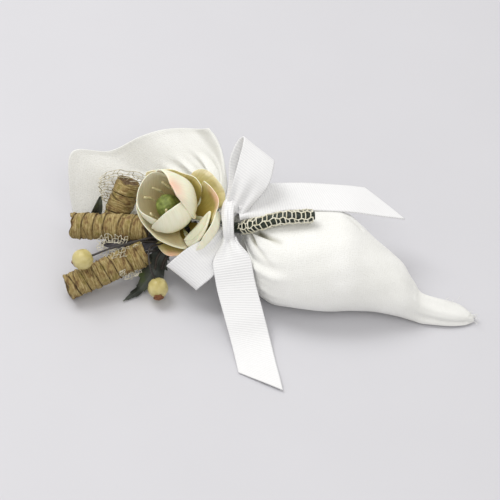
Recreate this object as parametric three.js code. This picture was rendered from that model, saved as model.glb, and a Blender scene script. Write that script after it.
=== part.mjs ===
// A wedding favour: a muslin pouch of sugared almonds, tied with a grosgrain bow that holds a floral pick.
// Millimetres, +Z up. The pouch lies on its side along X and its bow faces up and towards -Y.
import * as THREE from "three";

// Where things stand.
const LEAN = Math.PI / 4; // the bow and the pick lie on a plane that leans back by this angle
const CENTRE_X = 7.9; // the middle of the overall box in the layout below
const CENTRE_Y = -22.4;

// Pouch.
const WALL = 1.2; // several layers of gathered muslin
const BAG_SIDES = 28;
const LAST_HOLLOW = 13; // the cavity ends at this station of the bag
const CLOTH = 1.2; // the mouth's doubled hem

// Ribbon.
const RIBBON_WIDTH = 16;
const RIBBON_THICKNESS = 0.8;
const CUT = 0.12; // share of a tail's length that its slanted end takes off one edge
const PINCH = 0.45; // how narrow a ribbon is gathered where it enters the knot

// Filling.
const ALMOND = new THREE.Vector3(12, 7.6, 5.2); // half length, half width, half thickness

// Pick.
const STEM_RADIUS = 2.3;
const SLEEVE_OUTER = 3.1;
const SLEEVE_INNER = 2.6;
const WIRE_RADIUS = 0.55;
const ROLL_OUTER = 5.6;
const ROLL_INNER = 4.4;
const CORE_RADIUS = 4.1;
const BERRY_RADIUS = 4.3;
const PETAL = 0.7;
const LEAF = 0.6;
const NET = 0.6;
const GAP = 0.35; // between pieces that touch

const v3 = (x, y, z) => new THREE.Vector3(x, y, z);
const curve = (points) => new THREE.CatmullRomCurve3(points.map((p) => v3(...p)));
const mix = THREE.MathUtils.lerp;

function finish(color, roughness) {
  return new THREE.MeshStandardMaterial({ color, roughness, metalness: 0 });
}

const finishes = {
  muslin: finish(0xf1f0e9, 0.95),
  ribbon: finish(0xf6f6f6, 0.7),
  net: finish(0xe9e2c8, 0.9),
  bark: finish(0x96794a, 0.9),
  wood: finish(0x6a4a26, 0.85),
  tape: finish(0x20281e, 0.8),
  wire: finish(0x1d1c1a, 0.5),
  petal: finish(0xe6e2cf, 0.8),
  pistil: finish(0x7a8a30, 0.7),
  stamen: finish(0xe4dcb4, 0.8),
  calyx: finish(0x47562c, 0.8),
  leaf: finish(0x28301f, 0.55),
  greyLeaf: finish(0x75727c, 0.5),
  berry: finish(0xcfc48e, 0.45),
  cap: finish(0x7a3c14, 0.7),
  almond: finish(0xf7f5f0, 0.35),
};

const root = new THREE.Group();
root.position.set(-CENTRE_X, -CENTRE_Y, 0);
// Inside this group x runs right, y up the leaning plane and z straight off it.
const leaning = new THREE.Group();
leaning.rotation.x = LEAN;
root.add(leaning);

function part(parent, name, geometry, material) {
  const mesh = new THREE.Mesh(geometry, material);
  mesh.name = name;
  parent.add(mesh);
  return mesh;
}

// A closed body from vertices and triangles, turned to face outwards.
function body(vertices, triangles) {
  let volume = 0;
  for (const [a, b, c] of triangles) {
    volume += vertices[a].dot(vertices[b].clone().cross(vertices[c]));
  }
  const facing = volume < 0 ? triangles.map(([a, b, c]) => [a, c, b]) : triangles;
  const geometry = new THREE.BufferGeometry();
  const numbers = vertices.flatMap((p) => p.toArray());
  geometry.setAttribute("position", new THREE.Float32BufferAttribute(numbers, 3));
  geometry.setIndex(facing.flat());
  geometry.computeVertexNormals();
  return geometry;
}

// A sheet point(u, v), u and v from 0 to 1, thickened equally to both sides.
function sheet(point, across, along, thickness) {
  const middle = [];
  const normals = [];
  const h = 1e-3;
  for (let j = 0; j <= along; j++) {
    for (let i = 0; i <= across; i++) {
      const u = i / across;
      const v = j / along;
      const du = point(Math.min(u + h, 1), v).sub(point(Math.max(u - h, 0), v));
      const dv = point(u, Math.min(v + h, 1)).sub(point(u, Math.max(v - h, 0)));
      middle.push(point(u, v));
      normals.push(du.cross(dv).normalize());
    }
  }
  const front = middle.map((p, k) => p.clone().addScaledVector(normals[k], thickness / 2));
  const back = middle.map((p, k) => p.clone().addScaledVector(normals[k], -thickness / 2));
  const size = middle.length;
  const at = (i, j) => j * (across + 1) + i;
  const triangles = [];
  const quad = (a, b, c, d) => triangles.push([a, b, c], [a, c, d]);
  for (let j = 0; j < along; j++) {
    for (let i = 0; i < across; i++) {
      const [a, b, c, d] = [at(i, j), at(i + 1, j), at(i + 1, j + 1), at(i, j + 1)];
      quad(a, b, c, d);
      quad(size + a, size + d, size + c, size + b);
    }
  }
  const rim = [];
  for (let i = 0; i < across; i++) rim.push(at(i, 0));
  for (let j = 0; j < along; j++) rim.push(at(across, j));
  for (let i = across; i > 0; i--) rim.push(at(i, along));
  for (let j = along; j > 0; j--) rim.push(at(0, j));
  rim.forEach((p, k) => {
    const q = rim[(k + 1) % rim.length];
    quad(q, p, size + p, size + q);
  });
  return body([...front, ...back], triangles);
}

// A body through a row of closed rings, each end closed by a fan.
function loft(rings) {
  const sides = rings[0].length;
  const vertices = rings.flat();
  const triangles = [];
  for (let r = 0; r + 1 < rings.length; r++) {
    for (let k = 0; k < sides; k++) {
      const next = (k + 1) % sides;
      const [a, b] = [r * sides + k, r * sides + next];
      triangles.push([a, b, b + sides], [a, b + sides, a + sides]);
    }
  }
  for (const [ring, flip] of [[0, true], [rings.length - 1, false]]) {
    const middle = vertices.length;
    const sum = rings[ring].reduce((s, p) => s.add(p), v3(0, 0, 0));
    vertices.push(sum.divideScalar(sides));
    for (let k = 0; k < sides; k++) {
      const [a, b] = [ring * sides + k, ring * sides + ((k + 1) % sides)];
      triangles.push(flip ? [b, a, middle] : [a, b, middle]);
    }
  }
  return body(vertices, triangles);
}

// A hoop: one closed section swept round a closed loop.
function hoop(section, steps) {
  const rings = [];
  for (let k = 0; k < steps; k++) rings.push(section((2 * Math.PI * k) / steps));
  const sides = rings[0].length;
  const triangles = [];
  for (let r = 0; r < steps; r++) {
    for (let k = 0; k < sides; k++) {
      const [here, there] = [r * sides, ((r + 1) % steps) * sides];
      const next = (k + 1) % sides;
      triangles.push([here + k, here + next, there + next], [here + k, there + next, there + k]);
    }
  }
  return body(rings.flat(), triangles);
}

function disc(radius, sides) {
  const shape = new THREE.Shape();
  for (let k = 0; k < sides; k++) {
    const angle = (2 * Math.PI * k) / sides;
    const [x, y] = [radius * Math.cos(angle), radius * Math.sin(angle)];
    if (k === 0) shape.moveTo(x, y);
    else shape.lineTo(x, y);
  }
  shape.closePath();
  return shape;
}

function rod(points, radius, sides, steps) {
  const options = { steps, bevelEnabled: false, extrudePath: curve(points) };
  return new THREE.ExtrudeGeometry(disc(radius, sides), options);
}

function pipe(points, outer, inner, sides, steps) {
  const shape = disc(outer, sides);
  shape.holes.push(disc(inner, sides));
  const options = { steps, bevelEnabled: false, extrudePath: curve(points) };
  return new THREE.ExtrudeGeometry(shape, options);
}

function egg(centre, half, turn = [0, 0, 0]) {
  const geometry = new THREE.SphereGeometry(1, 16, 9);
  geometry.scale(half.x, half.y, half.z);
  geometry.rotateX(turn[0]);
  geometry.rotateY(turn[1]);
  geometry.rotateZ(turn[2]);
  return geometry.translate(...centre);
}

// ---- Pouch ----

// Each station of the bag: x, middle y, middle z, half width in y, half height in z.
const stations = [
  [-12.5, -2.2, 22.2, 4.2, 4.2],
  [-8.4, -4.6, 21.2, 4.2, 4.2],
  [-5.4, -6.4, 20.3, 4.4, 4.4],
  [-2, -8.6, 18.6, 7.4, 7.2],
  [0.7, -11.7, 16.1, 12.2, 11.4],
  [3, -15, 14.5, 16.6, 14.3],
  [8, -19.3, 15.9, 21.2, 17.3],
  [15, -21.3, 16.8, 22.8, 18.5],
  [24, -22.4, 17.1, 23.2, 18.9],
  [34, -23, 16.9, 23.2, 18.6],
  [41, -23.8, 16.2, 22.3, 17.9],
  [48.5, -26.4, 13.7, 18.8, 15.3],
  [55, -28.8, 11.4, 16.2, 12.9],
  [63, -31.9, 8.6, 12.6, 10],
  [67.5, -35, 6.1, 8.8, 7],
  [71, -37.4, 4.5, 6.6, 5],
  [80, -38.9, 3.2, 6.2, 3.6],
  [87, -39.8, 2.2, 5, 2.4],
  [93.6, -41.8, 1, 1.4, 1],
];

// One ring of the bag, `inset` inside its outer face, with the underside pressed flat.
function bagRing([x, y, z, halfY, halfZ], inset) {
  const ring = [];
  for (let k = 0; k < BAG_SIDES; k++) {
    const angle = (2 * Math.PI * k) / BAG_SIDES;
    const height = z + (halfZ - inset) * Math.sin(angle);
    ring.push(v3(x, y + (halfY - inset) * Math.cos(angle), Math.max(height, inset)));
  }
  return ring;
}

const hollow = stations.slice(0, LAST_HOLLOW + 1).map((s) => bagRing(s, WALL));
const skin = stations.map((s) => bagRing(s, 0));
part(root, "pouch_bag", loft([...hollow.reverse(), ...skin]), finishes.muslin);

// The mouth of the pouch above the tie: a scoop of cloth from a half ring at the neck out to a wide rim.
const NECK = v3(-14.4, -1.1, 22.6);
const neckAxis = v3(-0.86, 0.46, 0.2).normalize();
const neckUp = v3(0, 0, 1).addScaledVector(neckAxis, -neckAxis.z).normalize();
const neckBack = neckAxis.clone().cross(neckUp).normalize();
const mouthRoot = (u) => {
  const angle = mix(0, Math.PI, u);
  return NECK.clone()
    .addScaledVector(neckUp, 4 * Math.cos(angle))
    .addScaledVector(neckBack, 4 * Math.sin(angle));
};
const mouthMiddle = curve([
  [-7, 12, 36],
  [-20, 22, 25],
  [-38, 24, 14],
  [-50, 20, 7],
  [-46, 5, 4],
]);
const mouthRim = curve([
  [-16, 31, 41],
  [-34, 34.5, 37.5],
  [-46, 33, 34.5],
  [-59, 30, 29],
  [-74.6, 27, 31.5],
  [-76, 20, 17],
  [-73.5, 12, 3],
]);
function mouth(u, v) {
  const start = mouthRoot(u).multiplyScalar((1 - v) * (1 - v));
  const bulge = mouthMiddle.getPoint(u).multiplyScalar(2 * v * (1 - v));
  const end = mouthRim.getPoint(u).multiplyScalar(v * v);
  return start.add(bulge).add(end);
}
part(root, "pouch_mouth", sheet(mouth, 18, 9, CLOTH), finishes.muslin);

// Five sugared almonds, loose in the bag: each is its centre and its turn about x, y and z.
const almonds = [
  [[20, -29.6, 7.8], [0.1, 0, 0.05]],
  [[18, -12.6, 9.6], [0.55, 0, -0.1]],
  [[44, -27, 7.8], [0, 0.06, 0.35]],
  [[21.6, -21.5, 20.6], [0.2, 0.05, -0.25]],
  [[45.6, -22.6, 19], [0.15, 0.3, -0.3]],
];
almonds.forEach(([centre, turn], k) => {
  part(root, `sugared_almond_${k + 1}`, egg(centre, ALMOND, turn), finishes.almond);
});

// ---- Bow ----

// A ribbon along `path`, its width pointing along `side`. It is gathered where it enters the knot, at its
// start and, on a loop, at its end too. `cut` slants a tail's free end.
function ribbon(path, side, steps, { cut = 0, loop = false } = {}) {
  const point = (u, v) => {
    const t = v * (1 - cut * (1 - u));
    const fromKnot = loop ? Math.min(v, 1 - v) : v;
    const gather = mix(PINCH, 1, Math.min(fromKnot / (loop ? 0.3 : 0.35), 1));
    const across = side.getPoint(t).normalize();
    return path.getPoint(t).addScaledVector(across, (u - 0.5) * gather * RIBBON_WIDTH);
  };
  return sheet(point, 4, steps, RIBBON_THICKNESS);
}

// The band round the gathered neck and the pick's stem.
const BAND_CENTRE = v3(-9.6, 10.9, 20.8);
const bandAxis = v3(-0.87, 0.46, -0.18).normalize();
const bandLong = v3(0, 0, 1).addScaledVector(bandAxis, -bandAxis.z).normalize();
const bandShort = bandAxis.clone().cross(bandLong).normalize();
function bandSection(angle) {
  const spot = (swell, along) =>
    BAND_CENTRE.clone()
      .addScaledVector(bandLong, (8.7 + swell) * Math.cos(angle))
      .addScaledVector(bandShort, (6.5 + swell) * Math.sin(angle))
      .addScaledVector(bandAxis, along);
  return [spot(0, -2.5), spot(1.1, -2.5), spot(1.1, 2.5), spot(0, 2.5)];
}
part(leaning, "ribbon_band", hoop(bandSection, 24), finishes.ribbon);

const knot = egg([-9, 11, 33.4], v3(3, 9.6, 2.3), [0, 0, 0.12]);
part(leaning, "bow_knot", knot, finishes.ribbon);

// A bow loop: out from the knot, round its end and back, its gap opening along `gap`.
function bowLoop(start, out, gap, length, depth) {
  const side = out.clone().cross(gap).normalize();
  const points = [];
  const turns = 12;
  for (let k = 0; k <= turns; k++) {
    const angle = mix(-0.94 * Math.PI, 0.94 * Math.PI, k / turns);
    const reach = (length / 2) * (1 + Math.cos(angle));
    const spread = depth * Math.sin(angle) * (0.55 + 0.45 * Math.cos(angle / 2));
    points.push(start.clone().addScaledVector(out, reach).addScaledVector(gap, spread));
  }
  const path = new THREE.CatmullRomCurve3(points);
  const sides = new THREE.CatmullRomCurve3([side, side.clone()]);
  return ribbon(path, sides, 22, { loop: true });
}
const upperLoop = bowLoop(
  v3(-3.8, 25.6, 32.7),
  v3(0.41, 0.91, -0.07).normalize(),
  v3(0.35, -0.1, 0.93).normalize(),
  23,
  4.4,
);
part(leaning, "bow_loop_upper", upperLoop, finishes.ribbon);
const lowerLoop = bowLoop(
  v3(-15, -0.8, 32.2),
  v3(-0.72, -0.6, -0.34).normalize(),
  v3(-0.25, -0.2, 0.95).normalize(),
  18,
  4,
);
part(leaning, "bow_loop_lower", lowerLoop, finishes.ribbon);

const sidePath = curve([
  [-4.6, 16.6, 33.8],
  [2, 19.2, 32.4],
  [10, 21.6, 30],
  [22, 22.2, 27],
  [38, 21.6, 24],
  [64, 18.6, 17],
]);
const sideAcross = curve([
  [0.1, -1, -0.1],
  [0.1, -0.9, 0.35],
  [0.05, -0.75, 0.62],
  [0, -0.707, 0.707],
  [0, -0.707, 0.707],
  [0, -0.707, 0.707],
]);
const sideTail = ribbon(sidePath, sideAcross, 18, { cut: CUT });
part(leaning, "ribbon_tail_side", sideTail, finishes.ribbon);

const frontPath = curve([
  [-8.2, 0, 35],
  [-7.2, -6, 35.4],
  [-5.6, -15, 36],
  [-2.4, -27, 38.5],
  [1, -40, 42.4],
  [5.2, -57, 57.7],
]);
const frontAcross = curve([
  [0.97, 0.2, 0.02],
  [0.97, 0.24, 0.02],
  [0.97, 0.24, -0.02],
  [0.97, 0.22, -0.08],
  [0.98, 0.15, -0.12],
  [0.98, 0.13, -0.13],
]);
const frontTail = ribbon(frontPath, frontAcross, 18, { cut: CUT });
part(leaning, "ribbon_tail_front", frontTail, finishes.ribbon);

// ---- Pick ----

const stemRoute = [
  [-19, 11, 20.5],
  [-14, 9.6, 23.5],
  [-9, 9.2, 25.6],
  [-2, 9.4, 31.4],
  [3.8, 10.8, 37.4],
  [11.8, 12.8, 41.2],
  [19, 13.6, 42.6],
  [26.5, 14, 42.4],
];
part(leaning, "stem_bundle", rod(stemRoute, STEM_RADIUS, 10, 16), finishes.tape);
const sleeveRoute = stemRoute.slice(3);
sleeveRoute[4] = [24.5, 14, 42.45];
part(leaning, "net_sleeve", pipe(sleeveRoute, SLEEVE_OUTER, SLEEVE_INNER, 10, 12), finishes.net);

// Each bark roll: a stick with a thin bark wrap, on a wire from the bundle.
const rolls = {
  upper: {
    from: [-58.5, 8, 3.6],
    to: [-50.2, 28.6, 9.8],
    wire: [[-20.6, 13, 17.5], [-29, 13, 10], [-44, 6, 3], [-56, 2.4, 1], [-59.4, 4.6, 2]],
  },
  middle: {
    from: [-42.4, 9.2, 18.6],
    to: [-74, 10.2, 13],
    wire: [[-20.6, 10.4, 16.4], [-28, 7.6, 14.6], [-36, 8.6, 16.8]],
  },
  lower: {
    from: [-43.2, -1, 21.4],
    to: [-75.4, -15.6, 24.2],
    wire: [[-20.2, 8.2, 17.6], [-28, 3.2, 16.6], [-36, 0.6, 19.6]],
  },
};
function alongAxis(geometry, from, to) {
  const axis = to.clone().sub(from).normalize();
  const turn = new THREE.Quaternion().setFromUnitVectors(v3(0, 1, 0), axis);
  const middle = from.clone().add(to).multiplyScalar(0.5);
  return geometry.applyQuaternion(turn).translate(middle.x, middle.y, middle.z);
}
for (const [place, roll] of Object.entries(rolls)) {
  const [from, to] = [v3(...roll.from), v3(...roll.to)];
  const length = from.distanceTo(to);
  const stick = new THREE.CylinderGeometry(CORE_RADIUS, CORE_RADIUS, length - 1, 18);
  part(leaning, `bark_stick_${place}`, alongAxis(stick, from, to), finishes.wood);
  const half = length / 2;
  const profile = [
    [ROLL_INNER, -half],
    [ROLL_OUTER, -half],
    [ROLL_OUTER, half],
    [ROLL_INNER, half],
    [ROLL_INNER, -half],
  ].map(([r, y]) => new THREE.Vector2(r, y));
  const wrap = new THREE.LatheGeometry(profile, 22);
  part(leaning, `bark_wrap_${place}`, alongAxis(wrap, from, to), finishes.bark);
  const axis = to.clone().sub(from).normalize();
  const end = from.clone().addScaledVector(axis, 0.5 - GAP);
  const wire = rod([...roll.wire, end.toArray()], WIRE_RADIUS, 8, 12);
  part(leaning, `bark_wire_${place}`, wire, finishes.wire);
}

// Berries on wires.
const berries = {
  left: {
    centre: [-68.9, -3.8, 31.8],
    wire: [[-22.4, 8, 18.4], [-31, 5.6, 17.8], [-40, 5.2, 24.6], [-47, 3.6, 27.6], [-57, 0.8, 29.8]],
    cap: [-0.7, -0.25, -0.67],
  },
  front: {
    centre: [-38, -15.6, 25.3],
    wire: [[-20.8, 6.4, 20.8], [-31, 3, 20], [-40.8, 1.4, 25], [-41.4, -6, 28]],
    cap: [0.06, -0.9, 0.42],
  },
};
for (const [place, berry] of Object.entries(berries)) {
  const centre = v3(...berry.centre);
  const ball = new THREE.SphereGeometry(BERRY_RADIUS, 18, 12).translate(...berry.centre);
  part(leaning, `berry_${place}`, ball, finishes.berry);
  const last = v3(...berry.wire.at(-1));
  const reach = last.sub(centre).normalize().multiplyScalar(BERRY_RADIUS + GAP).add(centre);
  const wire = rod([...berry.wire, reach.toArray()], WIRE_RADIUS, 8, 14);
  part(leaning, `berry_wire_${place}`, wire, finishes.wire);
  const out = v3(...berry.cap).normalize();
  const tip = new THREE.CylinderGeometry(1.7, 1.3, 1.1, 12);
  const near = centre.clone().addScaledVector(out, BERRY_RADIUS + GAP);
  const far = centre.clone().addScaledVector(out, BERRY_RADIUS + GAP + 1.1);
  part(leaning, `berry_cap_${place}`, alongAxis(tip, near, far), finishes.cap);
}

// ---- Flower ----

// The flower has its own group: its base at the origin, its axis along +Y.
const FLOWER_BASE = [-28, 13, 21];
const FLOWER_AXIS = v3(-0.502, 0.442, 0.743).normalize();
const flower = new THREE.Group();
flower.position.set(...FLOWER_BASE);
const flowerRight = v3(0.86, 0.2, 0.46)
  .addScaledVector(FLOWER_AXIS, -v3(0.86, 0.2, 0.46).dot(FLOWER_AXIS))
  .normalize();
const flowerUp = FLOWER_AXIS.clone().cross(flowerRight).negate().normalize();
flower.quaternion.setFromRotationMatrix(
  new THREE.Matrix4().makeBasis(flowerRight, FLOWER_AXIS, flowerRight.clone().cross(FLOWER_AXIS)),
);
leaning.add(flower);

// A spoon-shaped petal round the flower's axis: `profile` gives radius and height from base to tip,
// `spread` its greatest half width as an angle and `heading` the direction that it faces.
function petal(heading, spread, profile) {
  const line = curve(profile.map(([r, h]) => [r, h, 0]));
  return (u, v) => {
    const side = 2 * u - 1;
    const fullness = Math.sqrt(Math.max(1 - Math.pow(2 * v - 1.05, 4) * 0.8, 0.05));
    const spot = line.getPoint(v * (1 - 0.1 * side * side));
    const angle = heading + side * spread * fullness;
    return v3(spot.x * Math.cos(angle), spot.y, -spot.x * Math.sin(angle));
  };
}
const degrees = THREE.MathUtils.degToRad;
const cupProfile = (swell) => [
  [3.4 + swell, 2.4 - swell * 0.1],
  [8.2 + swell, 7 - swell * 0.4],
  [11 + swell, 13],
  [11.2 + swell, 18],
  [9.4 + swell, 23.5],
];
const innerPetals = [
  { heading: 152, spread: 64, swell: 0 },
  { heading: -88, spread: 62, swell: 1.2 },
  { heading: 34, spread: 62, swell: 2.4 },
];
innerPetals.forEach(({ heading, spread, swell }, k) => {
  const shape = petal(degrees(heading), degrees(spread), cupProfile(swell));
  part(flower, `petal_inner_${k + 1}`, sheet(shape, 8, 8, PETAL), finishes.petal);
});
const outerPetals = [
  { heading: -20, spread: 34, tip: [19, 9], low: 0 },
  { heading: 52, spread: 34, tip: [18.5, 10], low: 1.1 },
  { heading: 126, spread: 32, tip: [17, 13], low: 1.2 },
  { heading: 192, spread: 34, tip: [14, 15], low: 0.6 },
  { heading: 264, spread: 33, tip: [19, 7], low: 0 },
  { heading: 320, spread: 30, tip: [20, 6], low: 2.2 },
];
outerPetals.forEach(({ heading, spread, tip, low }, k) => {
  const profile = [
    [3.4, -0.6 - low * 0.5],
    [9.4 + low - tip[1] * 0.06, 0.6 - low + tip[1] * 0.18],
    [tip[0] - 3 + low * 0.5, tip[1] * 0.55 - low * 0.8],
    [tip[0] + low * 0.5, tip[1] - low * 0.4],
  ];
  const shape = petal(degrees(heading), degrees(spread), profile);
  part(flower, `petal_outer_${k + 1}`, sheet(shape, 6, 6, PETAL), finishes.petal);
});

// The green pistil and its ring of stamens stand inside the cup on the receptacle.
const pistil = new THREE.LatheGeometry(
  [[0, 4.6], [3.2, 4.6], [4.3, 7.6], [3.9, 11], [2.2, 13.4], [0, 14.2]].map((p) => new THREE.Vector2(...p)),
  18,
);
part(flower, "flower_pistil", pistil, finishes.pistil);
const stamens = hoop((angle) => {
  const ripple = Math.round(Math.cos(angle * 9));
  const spot = (r, h) => v3(r * Math.cos(angle), h, r * Math.sin(angle));
  return [spot(4.9, 7), spot(6.1, 7), spot(6.5, 12 + ripple), spot(5.3, 12 + ripple)];
}, 36);
part(flower, "flower_stamens", stamens, finishes.stamen);
const receptacle = new THREE.LatheGeometry(
  [[0, -4.4], [1.7, -4.4], [2.6, -2.4], [2.7, 0], [2.9, 4.2], [0, 4.2]].map((p) => new THREE.Vector2(...p)),
  18,
);
part(flower, "flower_calyx", receptacle, finishes.calyx);

// ---- Leaves and net ribbon ----

// A leaf along `path`: widest at 0.4 of its length, `half` wide each way, with `teeth` shallow notches.
function leaf(path, side, half, teeth, steps) {
  const across = v3(...side).normalize();
  return sheet(
    (u, v) => {
      const outline = Math.pow(Math.sin(Math.PI * Math.pow(mix(0.06, 0.94, v), 0.8)), 0.7);
      const notch = 1 + 0.1 * Math.cos(2 * Math.PI * teeth * v);
      return path.getPoint(v).addScaledVector(across, (2 * u - 1) * half * outline * notch);
    },
    4,
    steps,
    LEAF,
  );
}
const largeLeaf = leaf(
  curve([[-36.6, 0.2, 22.6], [-38.8, -7.4, 24], [-45, -14.6, 22], [-52.4, -21, 23.2]]),
  [0.62, -0.66, -0.42],
  3.5,
  5,
  20,
);
part(leaning, "leaf_large", largeLeaf, finishes.leaf);
const smallLeaf = leaf(curve([[-65.6, 12, 3.4], [-64.2, 16, 6.5], [-62.4, 22.4, 9]]), [1, 0.1, 0], 2.2, 0, 8);
part(leaning, "leaf_small", smallLeaf, finishes.leaf);
const greyLeaf = leaf(curve([[-36, 4, 9.6], [-48, 4, 10.4], [-62, 2.6, 10]]), [0.05, 1, 0.15], 4.4, 0, 10);
part(leaning, "leaf_grey", greyLeaf, finishes.greyLeaf);

function netStrip(points, sides, half, steps) {
  const path = curve(points);
  const across = curve(sides);
  const point = (u, v) =>
    path.getPoint(v).addScaledVector(across.getPoint(v).normalize(), (2 * u - 1) * half);
  return sheet(point, 4, steps, NET);
}
const upperNet = netStrip(
  [[-40, 24, 12], [-47, 32, 15], [-56, 32, 17], [-63, 27, 15.5], [-61.5, 21.5, 19]],
  [[0.2, 0.7, 0.6], [0, 0.6, 0.8], [-0.4, 0.5, 0.75], [-0.8, 0.3, 0.5], [-0.5, -0.3, 0.6]],
  3.2,
  18,
);
part(leaning, "net_loop_upper", upperNet, finishes.net);
const lowerNet = netStrip(
  [[-43.5, 0.4, 30.5], [-50, -3, 31.5], [-57, -5.4, 31.5], [-63, -3, 27.4], [-60, 2.6, 24.4], [-54, 4, 24.8]],
  [[0.1, 0.9, -0.4], [0.2, 0.9, -0.3], [0.3, 0.9, 0], [0.8, 0.3, 0.5], [0.1, -0.6, 0.8], [-0.1, -0.9, 0.3]],
  3,
  22,
);
part(leaning, "net_loop_lower", lowerNet, finishes.net);

export default root;
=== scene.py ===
import math

import bpy
import numpy as np
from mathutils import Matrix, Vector


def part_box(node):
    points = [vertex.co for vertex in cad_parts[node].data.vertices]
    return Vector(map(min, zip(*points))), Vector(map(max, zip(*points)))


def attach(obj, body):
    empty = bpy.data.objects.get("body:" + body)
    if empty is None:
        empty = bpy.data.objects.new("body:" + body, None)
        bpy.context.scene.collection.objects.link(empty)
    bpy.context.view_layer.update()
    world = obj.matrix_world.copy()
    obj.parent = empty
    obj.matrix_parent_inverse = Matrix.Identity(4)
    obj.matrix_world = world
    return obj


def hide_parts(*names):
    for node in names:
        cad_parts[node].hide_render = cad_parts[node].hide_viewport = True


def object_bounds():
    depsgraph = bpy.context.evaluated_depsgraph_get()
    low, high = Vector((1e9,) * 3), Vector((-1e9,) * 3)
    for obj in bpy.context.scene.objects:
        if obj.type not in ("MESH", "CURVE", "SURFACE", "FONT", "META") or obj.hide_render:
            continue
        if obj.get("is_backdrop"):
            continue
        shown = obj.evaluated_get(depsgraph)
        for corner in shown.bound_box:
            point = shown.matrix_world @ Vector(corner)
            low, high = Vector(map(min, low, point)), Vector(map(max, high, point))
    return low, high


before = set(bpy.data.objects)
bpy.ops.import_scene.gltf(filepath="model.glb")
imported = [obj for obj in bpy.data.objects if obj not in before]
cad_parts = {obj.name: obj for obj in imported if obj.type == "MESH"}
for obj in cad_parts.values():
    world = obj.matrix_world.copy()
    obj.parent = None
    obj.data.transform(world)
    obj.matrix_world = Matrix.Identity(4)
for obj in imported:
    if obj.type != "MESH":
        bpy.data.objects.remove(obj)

CAD_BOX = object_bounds()
MM = 0.001
TILT = math.radians(45)
LEAN = math.cos(TILT)
TIP_X, BACK_Y = 93.6, 2.0  # the bag's tip and its rearmost point in the layout
BAG_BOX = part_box("pouch_bag")
ORIGIN = np.array([BAG_BOX[1][0] - TIP_X * MM, BAG_BOX[1][1] - BACK_Y * MM, 0.0])


def upright(points):
    return ORIGIN + np.asarray(points, float) * MM


def lean(points):
    points = np.asarray(points, float)
    u, v, d = points[..., 0], points[..., 1], points[..., 2]
    return upright(np.stack([u, (v - d) * LEAN, (v + d) * LEAN], -1))


# ---- camera

CAMERA_DISTANCE = 1500.0
VIEW_WIDTH = 210.0  # width of the picture at the layout's origin
SENSOR = 36.0
CLIP_END = 10.0  # metres


def add_object(name, data):
    made = bpy.data.objects.new(name, data)
    bpy.context.scene.collection.objects.link(made)
    return made


def make_camera():
    data = bpy.data.cameras.new("camera")
    data.sensor_width = SENSOR
    data.lens = SENSOR * CAMERA_DISTANCE / VIEW_WIDTH
    data.clip_end = CLIP_END
    camera = add_object("camera", data)
    camera.location = lean([0, 0, CAMERA_DISTANCE])
    camera.rotation_euler = (TILT, 0, 0)
    bpy.context.scene.camera = camera


# ---- curves and noise


def spline(points, t):
    """Catmull-Rom through `points`, t from 0 to 1, an equal share of t for each span."""
    points = np.asarray(points, float)
    spans = len(points) - 1
    padded = np.vstack([2 * points[0] - points[1], points, 2 * points[-1] - points[-2]])
    t = np.clip(np.asarray(t, float), 0, 1) * spans
    span = np.minimum(t.astype(int), spans - 1)
    f = (t - span)[..., None]
    p0, p1, p2, p3 = (padded[span + k] for k in range(4))
    return 0.5 * (
        2 * p1 + (p2 - p0) * f + (2 * p0 - 5 * p1 + 4 * p2 - p3) * f**2 + (3 * p1 - p0 - 3 * p2 + p3) * f**3
    )


def unit(vectors):
    vectors = np.asarray(vectors, float)
    return vectors / np.maximum(np.linalg.norm(vectors, axis=-1, keepdims=True), 1e-9)


def ramp(x, low, high):
    """0 below `low`, 1 above `high`, smooth between."""
    t = np.clip((np.asarray(x, float) - low) / (high - low), 0, 1)
    return t * t * (3 - 2 * t)


def bell(x, width):
    return np.exp(-((x / width) ** 2))


def ripple(points, size, seed, octaves=2):
    """Smooth noise from about -1 to 1 at points in mm, with features about `size` mm across."""
    draws = np.random.default_rng(seed)
    points = np.asarray(points, float)
    total = np.zeros(points.shape[:-1])
    for octave in range(octaves):
        for _ in range(6):
            way = draws.normal(size=points.shape[-1])
            way *= math.tau * draws.uniform(0.7, 1.3) * 2**octave / (size * np.linalg.norm(way))
            total += np.sin(points @ way + draws.uniform(0, math.tau)) * 0.5**octave / 2.4
    return total


def bezier(first, middle, last, t):
    return first * (1 - t) ** 2 + middle * 2 * t * (1 - t) + last * t**2


def round_angles(sides):
    return np.linspace(0, math.tau, sides, endpoint=False)


def on_circle(radius, angle, first, second):
    """Points at a radius and an angle in the plane of two unit vectors."""
    return (radius * np.cos(angle))[..., None] * first + (radius * np.sin(angle))[..., None] * second


def square_to(axis, vector):
    """The unit vector nearest to `vector` that is square to a unit axis."""
    return unit(vector - axis * (np.asarray(vector, float) @ axis))


def run_of(grid, axis=0):
    """Distance along one axis of a grid, averaged over the other."""
    steps = np.linalg.norm(np.diff(grid, axis=axis), axis=-1).mean(1 - axis)
    return np.concatenate([[0], np.cumsum(steps)])


def normals_of(grid):
    across, along = np.gradient(grid, axis=1), np.gradient(grid, axis=0)
    return unit(np.cross(across, along))


def grid_of(rows, columns):
    """v down the rows and u across the columns, both from 0 to 1."""
    return np.meshgrid(np.linspace(0, 1, columns + 1), np.linspace(0, 1, rows + 1))


# ---- meshes


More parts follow.
